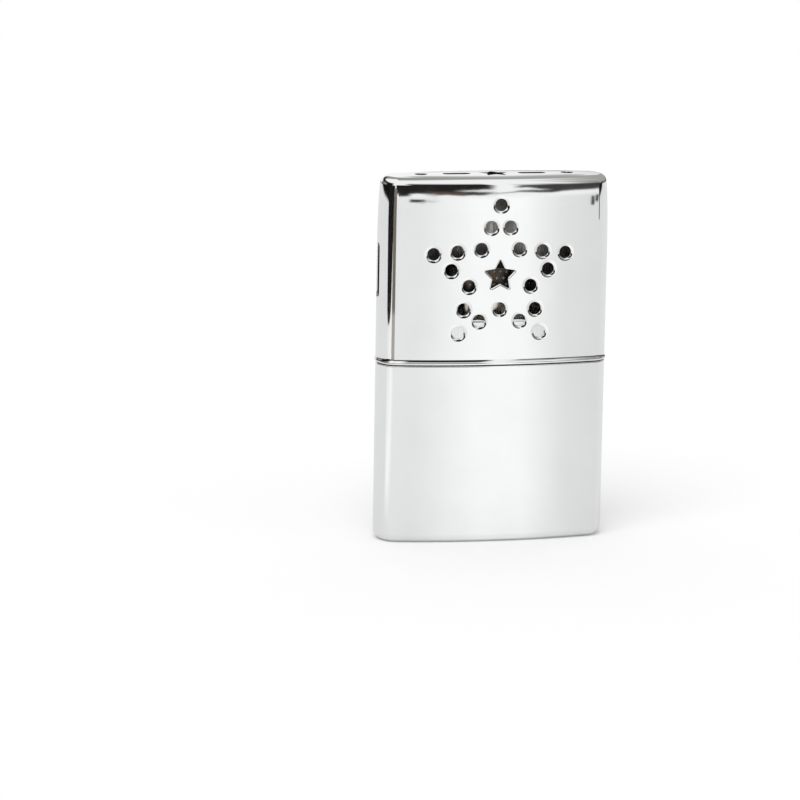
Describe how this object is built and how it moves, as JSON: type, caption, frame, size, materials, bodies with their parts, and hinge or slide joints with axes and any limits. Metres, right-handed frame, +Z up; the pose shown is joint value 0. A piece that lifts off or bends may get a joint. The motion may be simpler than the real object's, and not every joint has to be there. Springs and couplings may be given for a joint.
{
  "type": "catalytic hand warmer",
  "caption": "Flat pocket catalytic hand warmer: oval-section fuel tank, lift-off perforated lid and a catalyst burner on an oblong filler neck.",
  "frame": {"origin": "middle of the flat base that the tank stands on", "axes": "+Z up, out through the lid's top; X along the casing's width; -Y out of the front face"},
  "size_m": [0.0666, 0.0208, 0.1035],
  "materials": {
    "lid_plating": "mirror-polished chrome plating on drawn sheet",
    "tank_plating": "mirror-polished chrome plating on drawn sheet",
    "collar_plating": "bright plating, rubbed by the lid",
    "neck_plating": "bright plating, unpolished",
    "burner_steel": "pressed steel, darkened by heat",
    "screen_steel": "punched steel screen",
    "glass_fibre": "needled glass-fibre mat",
    "wick_felt": "pressed felt",
    "cotton": "loose absorbent cotton"
  },
  "bodies": {
    "tank": {"tank_shell": "tank_plating", "collar_cap": "collar_plating", "filler_neck": "neck_plating", "neck_wick": "wick_felt", "cotton_left": "cotton", "cotton_middle": "cotton", "cotton_right": "cotton"},
    "lid": {"lid_shell": "lid_plating"},
    "burner": {"burner_base": "burner_steel", "mat_screen": "screen_steel", "catalyst_mat": "glass_fibre", "burner_cover": "burner_steel"}
  },
  "joints": [
    {"name": "lid_slide", "type": "slide", "parent": "tank", "child": "lid", "axis": [0, 0, 1], "range_m": [0, 0.045]},
    {"name": "burner_lift", "type": "slide", "parent": "tank", "child": "burner", "axis": [0, 0, 1], "range_m": [0, 0.015]}
  ]
}
